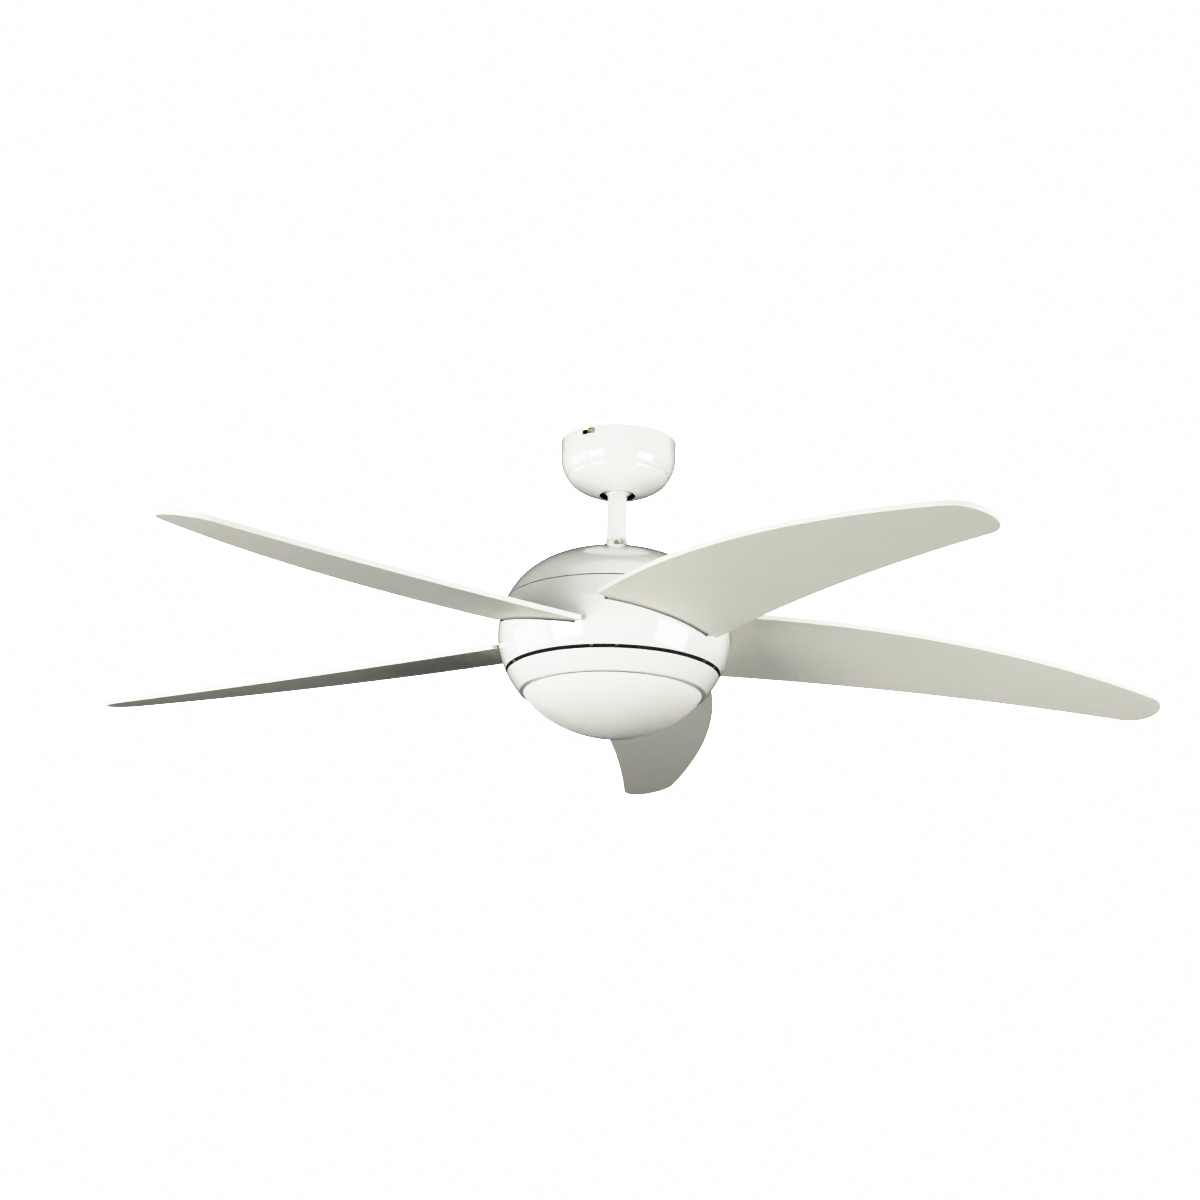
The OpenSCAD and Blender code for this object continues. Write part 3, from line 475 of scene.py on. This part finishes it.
def build_canopy():
    """A turned shell with two keyholes, each a round hole, a slot beside it and a way in from the
    rim, and with a small lock hole next to each."""
    key_hole_r, lock_hole_r, rod_from, rod_to = 2.3, 1.6, 55, 75
    box_from, box_to, entry_half_w, arm_half_w, arm_half_h = 60, 70, 3.5, 4.3, 2.1
    entry_low, entry_high = -2.5, 12
    cove_steps = 28
    outer = canopy_wall(0.0, cove_steps)
    inner = canopy_wall(CANOPY_WALL, cove_steps)
    outline = outer + inner[::-1]
    edge, step_soft = 0.35, 3.0
    step_at = cove_steps + 1
    corners = {0: edge, -1: edge, len(outer) - 1: edge, len(outer): edge, step_at: step_soft,
               step_at + 1: step_soft}
    piece = lathe("canopy_shell", rounded(outline, corners))
    cutters = []
    for turn in (0, 180):
        cutters.append(rod_cutter(key_hole_r, rod_from, rod_to, at_rim(turn + KEY_AZ)))
        cutters.append(rod_cutter(lock_hole_r, rod_from, rod_to, at_rim(turn + LOCK_AZ)))
        cutters.append(box_cutter((box_from, -entry_half_w, entry_low),
                                  (box_to, entry_half_w, entry_high), at_rim(turn + KEY_ENTRY_AZ)))
        cutters.append(box_cutter((box_from, -arm_half_w, -arm_half_h),
                                  (box_to, arm_half_w, arm_half_h),
                                  at_rim(turn + (KEY_AZ + KEY_ENTRY_AZ) / 2)))
    cut(piece, cutters)
    place(piece, "ceiling_mount", "canopy", gloss_white, painted_shade)
    # the canopy's inside and the walls of its holes take the painted shade
    paint_inside_shade(piece, CANOPY_STRAIGHT_Z)


# ---- downrod, its cover disc and the yoke's clip -------------------------------------------------

def build_downrod():
    """A tube with a cross hole for each of its two pins."""
    edge, pin_hole_r, reach, ball_pin_z = 0.5, 2.5, 20, -50
    outline = [(ROD_R, ROD_END_Z), (ROD_R, ROD_TOP_Z), (ROD_R - ROD_WALL, ROD_TOP_Z),
               (ROD_R - ROD_WALL, ROD_END_Z)]
    piece = lathe("downrod_tube", rounded(outline, {0: edge, 1: edge, 2: edge, 3: edge}), segments=96)
    pins = [turn_z(YOKE_PIN_AZ) @ move(0, 0, YOKE_PIN_Z), turn_z(90) @ move(0, 0, ball_pin_z)]
    cut(piece, [rod_cutter(pin_hole_r, -reach, reach, pin) for pin in pins])
    place(piece, "stem", "downrod", gloss_white)


def build_cover_disc():
    """The shallow disc on the yoke that hides the hole in the dome, with a soft outer edge."""
    base_r, widest_r, shoulder_r, disc_t, widest_up, shoulder_up = 21.6, 22.0, 21.4, 3, 0.4, 1.5
    collar_t = 0.8
    low = COVER_DISC_Z - disc_t
    outline = [(COLLAR_R, low), (base_r, low), (widest_r, low + widest_up),
               (shoulder_r, low + shoulder_up), (COLLAR_R + collar_t, COVER_DISC_Z),
               (COLLAR_R, COVER_DISC_Z)]
    radii = {1: 0.4, 2: 0.6, 3: 1.2, 4: 0.5}
    place(lathe("yoke_disc", rounded(outline, radii), segments=128), "stem", "yoke_cover", gloss_white)


def build_clip():
    """The bent wire clip: a straight leg through the pin, a round loop, and a bowed leg outside it."""
    wire_r, loop_r, head, foot, clip_r = 0.7, 3.0, 3.5, -3.8, 16.6
    bow_in, pinch_in = 0.6, 0.1
    route = [(0, foot), (0, -1), (0, head)]       # (y, z) in the pin's frame
    route += [(loop_r - loop_r * math.cos(math.radians(a)), head + loop_r * math.sin(math.radians(a)))
              for a in range(20, 180, 20)]
    route += [(2 * loop_r, head), (2 * loop_r - bow_in, 1.5), (2 * loop_r - pinch_in, -0.4),
              (2 * loop_r, -1.5)]
    matrix = turn_z(YOKE_PIN_AZ) @ move(clip_r, 0, YOKE_PIN_Z)
    curve = bpy.data.curves.new("clip_wire", "CURVE")
    curve.dimensions = "3D"
    curve.bevel_depth = wire_r * MM
    curve.bevel_resolution = 5
    curve.use_fill_caps = True
    spline = curve.splines.new("NURBS")
    spline.points.add(len(route) - 1)
    for point, (y, z) in zip(spline.points, route):
        point.co = (*(matrix @ Vector((0, y, z)) * MM), 1)
    spline.use_endpoint_u = True
    spline.order_u = 3
    piece = bpy.data.objects.new("clip_wire", curve)
    bpy.context.scene.collection.objects.link(piece)
    place(piece, "stem", "hairpin_clip", nickel)


# ---- turning housing -----------------------------------------------------------------------------

def build_dome():
    """The upper shell, with holes for the screws that hold it to the motor."""
    steps, edge = 72, 0.35
    screws, screw_hole_r, screws_at_r, first_az, reach, middle_z = 3, 2.2, 40, 30, 20, -140
    outer = bow_run(DOME, bow_angle_at_z(DOME, SEAM_Z), bow_angle_at_r(DOME, DOME_HOLE_R), steps)
    inner = bow_run(DOME, bow_angle_at_z(DOME, SEAM_Z, SHELL), bow_angle_at_r(DOME, DOME_HOLE_R, SHELL),
                    steps, SHELL)
    corners = {0: edge, -1: edge, steps: edge, steps + 1: edge}
    piece = lathe("dome_shell", rounded(outer + inner[::-1], corners), segments=ROUND_LARGE)
    upright = Matrix.Rotation(math.radians(90), 4, "Y")
    places = [turn_z(first_az + i * 360 / screws) @ move(screws_at_r, 0, middle_z)
              for i in range(screws)]
    cut(piece, [rod_cutter(screw_hole_r, -reach, reach, at @ upright) for at in places])
    place(piece, "rotor", "upper_housing", gloss_white, painted_shade)
    # the dome's inside and its screw holes take the painted shade
    paint_inside_shade(piece, DOME["zc"])


def build_slotted_ring():
    """The lower shell, with a lip that tucks in behind the dome, a ledge for the base plate and a
    slot for each blade."""
    steps = 72
    top = SEAM_Z - SEAM_GAP
    lip, lip_t, lip_gap, lip_root = 6.0, 1.2, 0.3, 3
    ledge_r, ledge_t = 112.5, 1.4
    slot_from, slot_to, slot_half_w, slot_below, slot_above = 95, 155, 64, 2.2, 7.2
    top_edge, low_edge = 0.3, 0.4

    def wall(z0, z1, inset):
        return [(housing_radius(z0 + (z1 - z0) * i / steps, inset), z0 + (z1 - z0) * i / steps)
                for i in range(steps + 1)]

    outer = wall(top, RING_END_Z, 0.0)
    below_ledge = [(housing_radius(z, SHELL), z) for z in (RING_END_Z, PLATE_TOP_Z)]
    inner = wall(PLATE_TOP_Z + ledge_t, SEAM_Z - lip_root, SHELL)
    behind = bow_radius(DOME, SEAM_Z, SHELL) - lip_gap
    above = bow_radius(DOME, SEAM_Z + lip, SHELL) - lip_gap
    outline = outer + below_ledge + [(ledge_r, PLATE_TOP_Z), (ledge_r, PLATE_TOP_Z + ledge_t)] + inner
    outline += [(behind - lip_t, SEAM_Z), (above - lip_t, SEAM_Z + lip), (above, SEAM_Z + lip),
                (behind, top)]
    corners = {0: top_edge, steps: low_edge, steps + 1: low_edge}
    piece = lathe("slotted_ring", rounded(outline, corners), segments=ROUND_LARGE)
    low, high = (slot_from, -slot_half_w, -slot_below), (slot_to, slot_half_w, slot_above)
    cut(piece, [box_cutter(low, high, blade_matrix(i)) for i in range(BLADES)])
    place(piece, "rotor", "slotted_housing", gloss_white, painted_shade)
    # the ring's inside, its slots and its lip take the painted shade
    paint_inside_shade(piece, DOME["zc"], lip_z=top)


# ---- blades --------------------------------------------------------------------------------------

def arc_points(centre, r, a0, a1, steps):
    return [(centre[0] + r * math.cos(math.radians(a0 + (a1 - a0) * i / steps)),
             centre[1] + r * math.sin(math.radians(a0 + (a1 - a0) * i / steps)))
            for i in range(steps + 1)]


def blade_outline():
    """The flat outline: x runs out along the blade and y towards its leading edge."""
    root_x, tongue_x, tongue_w, tongue_end_w, tongue_taper = 114.5, 88.0, 60.0, 45.0, 12
    lead_y, trail_y, curve_x = 73.5, -75.5, 150.0
    lead_r, trail_r, tip_lead_r, tip_trail_r = 1010.0, 2700.0, 36.0, 32.0
    tip_start, tip_middle = 87, -4      # degrees; a little apart from where the next arc ends
    tip_y = 82.0                        # where the tip reaches the full sweep
    tip_x = math.sqrt((SWEEP_D / 2) ** 2 - tip_y ** 2)
    lead_c = (curve_x, lead_y - lead_r)
    trail_c = (curve_x, trail_y - trail_r)
    lead_end = math.degrees(math.asin((tip_x - tip_lead_r - curve_x) / (lead_r - tip_lead_r)))
    trail_end = math.degrees(math.asin((tip_x - tip_trail_r - curve_x) / (trail_r + tip_trail_r)))
    lead_tip = arc_points(lead_c, lead_r - tip_lead_r, 90 - lead_end, 90, 1)[0]
    trail_tip = arc_points(trail_c, trail_r + tip_trail_r, 90 - trail_end, 90, 1)[0]
    points = [(tongue_x, tongue_end_w), (tongue_x + tongue_taper, tongue_w), (root_x, tongue_w),
              (root_x, lead_y)]
    points += arc_points(lead_c, lead_r, 90, 90 - lead_end, 40)
    points += arc_points(lead_tip, tip_lead_r, tip_start - lead_end, 0, 20)
    points += arc_points(trail_tip, tip_trail_r, tip_middle, -tip_start - trail_end, 20)
    points += arc_points(trail_c, trail_r, 90 - trail_end, 90, 36)
    points += [(root_x, trail_y), (root_x, -tongue_w), (tongue_x + tongue_taper, -tongue_w),
               (tongue_x, -tongue_end_w)]
    # The four corners of the root and its tongue at either side
    corners = {0: 4.0, 1: 3.0, 2: 0.8, 3: 1.4, -4: 1.4, -3: 0.8, -2: 3.0, -1: 4.0}
    return rounded(points, corners, steps=5)


def inset_outline(points, distance):
    """Moves every point of a clockwise outline inwards along its corner's bisector."""
    least_spread = 0.5       # keeps a sharp corner from running away
    out = []
    count = len(points)
    for i in range(count):
        p = Vector(points[i])
        one = (p - Vector(points[i - 1])).normalized()
        two = (Vector(points[(i + 1) % count]) - p).normalized()
        inward = Vector((one.y + two.y, -one.x - two.x)).normalized()
        spread = max(inward.dot(Vector((two.y, -two.x))), least_spread)
        out.append(p + inward * (distance / spread))
    return out


def build_blade(i):
    """A flat board with rounded edges; the edges take the second material, lighter as painted light."""
    edge, edge_steps, face_on = 0.9, 4, 0.8
    facet_gap = 0.1      # stays inside the CAD's faceted arcs
    outline = inset_outline(blade_outline(), facet_gap)
    matrix = blade_matrix(i)
    count = len(outline)
    layers = []
    for side in (-1, 1):
        for k in range(edge_steps + 1):
            a = math.radians(90 * (k / edge_steps if side > 0 else 1 - k / edge_steps))
            z = BLADE_T / 2 + side * (BLADE_T / 2 - edge + edge * math.sin(a))
            layers.append((edge * (1 - math.cos(a)), z))
    verts, faces = [], []
    for inset, z in layers:
        for p in inset_outline(outline, inset):
            verts.append(matrix @ Vector((p.x, -p.y, z)))
    for j in range(len(layers) - 1):
        for k in range(count):
            k2 = (k + 1) % count
            faces.append((j * count + k, j * count + k2, (j + 1) * count + k2, (j + 1) * count + k))
    top = (len(layers) - 1) * count
    faces.append(tuple(range(count - 1, -1, -1)))
    faces.append(tuple(range(top, top + count)))
    piece = make_object("blade_board_%d" % (i + 1), verts, faces)
    place(piece, "rotor", "blade_%d" % (i + 1), blade_face, blade_edge_painted_light)
    up = (matrix.to_3x3() @ Vector((0, 0, 1))).normalized()
    # the edge faces get the lighter lacquer, painted light where the lamps fall on them
    for polygon in piece.data.polygons:
        if abs(polygon.normal.dot(up)) < face_on:
            polygon.material_index = 1
    weighted = piece.modifiers.new("flat_faces", "WEIGHTED_NORMAL")
    weighted.keep_sharp = True
    apply_modifiers(piece)


# ---- light kit -----------------------------------------------------------------------------------

def switch_matrix():
    """The reverse switch's frame: x along its travel, y out of the pan's slanting back wall."""
    switch_z, slant = -288.0, -34.0
    return move(0, bow_radius(BELLY, switch_z), switch_z) @ Matrix.Rotation(math.radians(slant), 4, "X")


def build_light_pan():
    """The fixed steel pan under the housing, with a slot for the reverse switch."""
    steps, lip_r, lip_low, lip_high, wall_end, hub_r = 40, 99.6, 0.4, 1.4, 1.6, 10.0
    slot_half_w, slot_in, slot_out, slot_half_h = 5.2, 8, 6, 2
    outer = bow_run(BELLY, bow_angle_at_z(BELLY, PAN_TOP_Z), bow_angle_at_z(BELLY, PAN_END_Z), steps)
    inner = bow_run(BELLY, bow_angle_at_z(BELLY, PAN_TOP_Z - PAN_STEEL, PAN_STEEL),
                    bow_angle_at_z(BELLY, PAN_END_Z + wall_end, PAN_STEEL), steps, PAN_STEEL)
    outline = [(hub_r, PAN_TOP_Z)] + outer
    outline += [(lip_r, PAN_END_Z - lip_low), (lip_r, PAN_END_Z + lip_high)]
    outline += inner[::-1] + [(hub_r, PAN_TOP_Z - PAN_STEEL)]
    corners = {1: 0.6, steps + 1: 0.9, steps + 2: 0.6, steps + 3: 0.5}
    piece = lathe("light_pan_shell", rounded(outline, corners), segments=ROUND_LARGE)
    cut(piece, [box_cutter((-slot_half_w, -slot_in, -slot_half_h), (slot_half_w, slot_out, slot_half_h),
                           switch_matrix())])
    add_tabs(piece)
    place(piece, "stem", "light_pan", gloss_white)


def add_tabs(pan):
    """Three flat tabs inside the pan that carry the glass's ring, joined to the pan's wall."""
    tabs, first_az, width, steps = 3, 79.0, 22.0, 12
    low, high, r_in, r_out = -296.0, -294.5, 93.5, 105.9
    bm = bmesh.new()
    bm.from_mesh(pan.data)
    for i in range(tabs):
        start = first_az + i * 360.0 / tabs
        grid = []
        for k in range(steps + 1):
            a = math.radians(start + width * k / steps)
            grid.append([bm.verts.new((r * MM * math.cos(a), r * MM * math.sin(a), z * MM))
                         for r, z in ((r_in, low), (r_out, low), (r_out, high), (r_in, high))])
        for k in range(steps):
            for c in range(4):
                c2 = (c + 1) % 4
                bm.faces.new((grid[k][c], grid[k][c2], grid[k + 1][c2], grid[k + 1][c]))
        bm.faces.new(grid[0][::-1])
        bm.faces.new(grid[-1])
    bmesh.ops.recalc_face_normals(bm, faces=bm.faces)
    bm.to_mesh(pan.data)
    bm.free()
    smooth(pan)


def build_glass():
    """The opal bowl, with a rounded rim."""
    steps, rim_soft = 90, 1.1
    outer = bow_run(GLASS, bow_angle_at_z(GLASS, GLASS_RIM_Z), 90, steps)
    inner = bow_run(GLASS, bow_angle_at_z(GLASS, GLASS_RIM_Z, GLASS_WALL), 90, steps, GLASS_WALL)
    outline = outer[:-1] + [(0.0, outer[-1][1]), (0.0, inner[-1][1])] + inner[:-1][::-1]
    outline = rounded(outline, {0: rim_soft, -1: rim_soft}, steps=6)
    place(lathe("glass_bowl", outline, segments=ROUND_LARGE, sharp=60), "shade", "glass_shade", opal)


def build_lamp_globe(i):
    """A small round lamp bulb: a ball that runs down through a waisted neck to its cap."""
    neck_end, neck_r, ball_x, ball_start = -31.0, 12.6, 3.0, -14.5
    neck_straight, neck_flare, neck_steps, ball_steps = 1, 0.98, 8, 40
    profile = [(0.0, neck_end), (neck_r, neck_end)]
    for k in range(neck_steps + 1):
        t = k / neck_steps
        neck_x = neck_end + neck_straight + (ball_start - neck_end - neck_straight) * t
        ball_r = math.sqrt(LAMP_R ** 2 - (ball_start - ball_x) ** 2)
        profile.append((neck_r + (ball_r - neck_r) * smoothstep(t) * neck_flare, neck_x))
    first = math.degrees(math.asin((ball_start - ball_x) / LAMP_R))
    profile += [(LAMP_R * math.cos(math.radians(first + (90 - first) * k / ball_steps)),
                 ball_x + LAMP_R * math.sin(math.radians(first + (90 - first) * k / ball_steps)))
                for k in range(ball_steps)] + [(0.0, ball_x + LAMP_R)]
    piece = lathe("lamp_bulb_%d" % (i + 1), profile, segments=72)
    matrix = (turn_z(i * 360 / LAMPS) @ move(0, LAMP_Y, LAMP_Z)
              @ Matrix.Rotation(math.radians(90), 4, "Y"))
    piece.data.transform(Matrix.Scale(MM, 4) @ matrix @ Matrix.Scale(1 / MM, 4))
    place(piece, "stem", "lamp_globe_%d" % (i + 1), lamp_glass)


# ---- building ------------------------------------------------------------------------------------

build_canopy()
build_downrod()
build_cover_disc()
build_clip()
build_dome()
build_slotted_ring()
for index in range(BLADES):
    build_blade(index)
build_light_pan()
build_glass()
for index in range(LAMPS):
    build_lamp_globe(index)


# ---- camera --------------------------------------------------------------------------------------

def build_camera():
    """Stands below the fan, 3 m away, and looks a little up at it, slightly rolled."""
    place_at = Vector((-0.2971, -2.9346, -1.0710))
    yaw, pitch, roll = math.radians(5.455), math.radians(16.65), math.radians(1.54)
    ahead = Vector((math.sin(yaw) * math.cos(pitch), math.cos(yaw) * math.cos(pitch), math.sin(pitch)))
    level = Vector((math.cos(yaw), -math.sin(yaw), 0))
    upright = level.cross(ahead)
    right = math.cos(roll) * level + math.sin(roll) * upright
    up = -math.sin(roll) * level + math.cos(roll) * upright
    data = bpy.data.cameras.new("camera")
    data.lens = 81.6
    data.sensor_width = 36.0
    data.clip_start = 0.05
    data.clip_end = 200
    camera = bpy.data.objects.new("camera", data)
    turned = Matrix((right, up, -ahead)).transposed().to_4x4()
    camera.matrix_world = Matrix.Translation(place_at) @ turned
    bpy.context.scene.collection.objects.link(camera)
    bpy.context.scene.camera = camera


# ---- studio --------------------------------------------------------------------------------------

def build_softbox(name, azimuths, elevations, power):
    """A square-on softbox, seen from the fan between two azimuths (degrees to the right of the
    camera's side) and two elevations; power is the light that a white card facing it sends back."""
    camera_side, distance, fan_z, beam = -95.8, 2.0, -0.25, 110.0
    azimuth, elevation = (math.radians(sum(pair) / 2) for pair in (azimuths, elevations))
    half_w, half_h = (math.radians((pair[1] - pair[0]) / 2) for pair in (azimuths, elevations))
    data = bpy.data.lights.new(name, "AREA")
    data.shape = "RECTANGLE"
    data.size = 2 * distance * math.tan(half_w)
    data.size_y = 2 * distance * math.tan(half_h)
    data.energy = power * math.pi ** 2 * distance ** 2
    data.spread = math.radians(beam)
    light = bpy.data.objects.new(name, data)
    azimuth += math.radians(camera_side)
    fan = Vector((0, 0, fan_z))
    away = Vector((math.cos(azimuth) * math.cos(elevation), math.sin(azimuth) * math.cos(elevation),
                   math.sin(elevation)))
    light.location = fan + away * distance
    light.visible_camera = False
    light.rotation_mode = "QUATERNION"
    light.rotation_quaternion = (-away).to_track_quat("-Z", "Y")
    bpy.context.scene.collection.objects.link(light)


def build_floor():
    """A pale floor far below the fan, softly lit of itself; it sends no light up under the blades."""
    half, z, glow = 60.0, -6.0, 0.7
    corners = [(-half, -half, z), (half, -half, z), (half, half, z), (-half, half, z)]
    mesh = bpy.data.meshes.new("studio_floor")
    mesh.from_pydata(corners, [], [(0, 1, 2, 3)])
    floor = bpy.data.objects.new("studio_floor", mesh)
    bpy.context.scene.collection.objects.link(floor)
    pale = material("pale_floor", (0.56, 0.555, 0.54), (0.54, 0.535, 0.52), (0.6, 0.7),
                    grain=3, bump=0.05, bump_grain=200)
    shader = pale.node_tree.nodes["Principled BSDF"]
    shader.inputs["Emission Color"].default_value = (1.0, 0.99, 0.97, 1)
    shader.inputs["Emission Strength"].default_value = glow
    floor.data.materials.append(pale)
    floor.visible_diffuse = False
    floor.visible_glossy = False


def build_world():
    """A studio that is lit at eye level and dim above and below; past the fan the camera sees white."""
    below, level, above, white = 0.006, 0.084, 0.036, 8.0
    dark_to, level_from, level_to, dim_from = 0.44, 0.53, 0.62, 0.78    # 0 straight down, 1 straight up
    world = bpy.data.worlds.new("studio")
    bpy.context.scene.world = world
    world.use_nodes = True
    tree = world.node_tree
    room = tree.nodes["Background"]
    coords = tree.nodes.new("ShaderNodeTexCoord")
    parts = tree.nodes.new("ShaderNodeSeparateXYZ")
    tree.links.new(coords.outputs["Generated"], parts.inputs["Vector"])
    ramp = tree.nodes.new("ShaderNodeValToRGB")
    ramp.color_ramp.interpolation = "EASE"
    height = tree.nodes.new("ShaderNodeMapRange")
    height.inputs["From Min"].default_value = -1.0
    tree.links.new(parts.outputs["Z"], height.inputs["Value"])
    tree.links.new(height.outputs["Result"], ramp.inputs["Fac"])
    stops = ramp.color_ramp.elements
    stops[0].position, stops[0].color = dark_to, (below, below, below, 1)
    stops[1].position, stops[1].color = level_from, (level, level, level, 1)
    for at, value in ((level_to, level), (dim_from, above)):
        stop = stops.new(at)
        stop.color = (value, value, value, 1)
    tree.links.new(ramp.outputs["Color"], room.inputs["Color"])
    backdrop = tree.nodes.new("ShaderNodeBackground")
    backdrop.inputs["Color"].default_value = (1, 1, 1, 1)
    backdrop.inputs["Strength"].default_value = white
    rays = tree.nodes.new("ShaderNodeLightPath")
    choose = tree.nodes.new("ShaderNodeMixShader")
    tree.links.new(rays.outputs["Is Camera Ray"], choose.inputs[0])
    tree.links.new(room.outputs[0], choose.inputs[1])
    tree.links.new(backdrop.outputs[0], choose.inputs[2])
    tree.links.new(choose.outputs[0], tree.nodes["World Output"].inputs[0])


def set_film_response():
    """A soft shoulder, as a camera has: tones up to mid grey stay, and highlights roll off to white."""
    view = bpy.context.scene.view_settings
    view.view_transform = "Standard"
    view.use_curve_mapping = True
    curves = view.curve_mapping
    white, combined = 4.0, 3
    shoulder = ((0.2, 0.2), (0.4, 0.4), (0.6, 0.59), (0.8, 0.75), (1.0, 0.86), (1.4, 0.94), (2.2, 0.98))
    curves.white_level = (white, white, white)
    curve = curves.curves[combined]
    curve.points[0].location = (0, 0)
    curve.points[1].location = (1, 1)
    for light, tone in shoulder:
        curve.points.new(light / white, tone)
    curves.update()


build_camera()
build_floor()
build_world()
build_softbox("softbox_left", (-112, -70), (-20, 4), power=0.22)
build_softbox("softbox_front_left", (-61, -32), (-22, 0), power=0.53)
build_softbox("softbox_front_right", (43, 76), (-24, -2), power=0.46)
build_softbox("fill_right", (60, 120), (0, 34), power=0.10)
build_softbox("fill_above", (-50, 50), (25, 60), power=0.15)
build_softbox("overhead", (-30, 30), (58, 88), power=0.09)
set_film_response()
